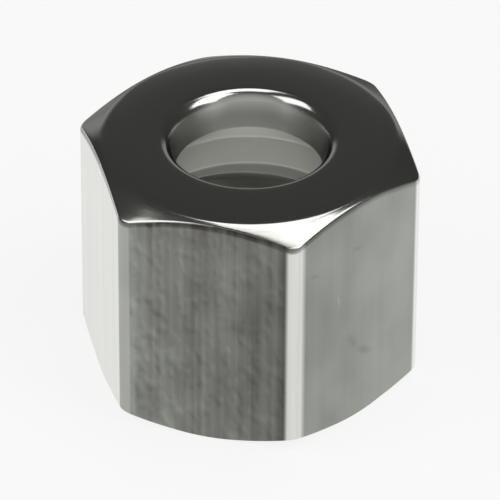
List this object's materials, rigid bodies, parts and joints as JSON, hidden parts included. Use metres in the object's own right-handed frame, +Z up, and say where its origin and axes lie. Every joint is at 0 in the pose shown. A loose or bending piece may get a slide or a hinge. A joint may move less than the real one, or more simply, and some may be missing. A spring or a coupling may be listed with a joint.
{
  "type": "union nut",
  "caption": "Hexagonal union nut for a tube fitting: plain tube hole with a bell mouth, an inner cone seat and an internal thread, with turned chamfers at both ends.",
  "frame": {"origin": "centre of the thread end face, on which the nut stands", "axes": "+Z up the nut's axis towards the tube end, with hexagon corners on the Y axis and flats facing along X"},
  "size_m": [0.017, 0.0194, 0.0145],
  "materials": {
    "steel": "bright drawn bar on the flats, finely turned ends and bore"
  },
  "bodies": {
    "root": {"union_nut": "steel"}
  },
  "joints": []
}
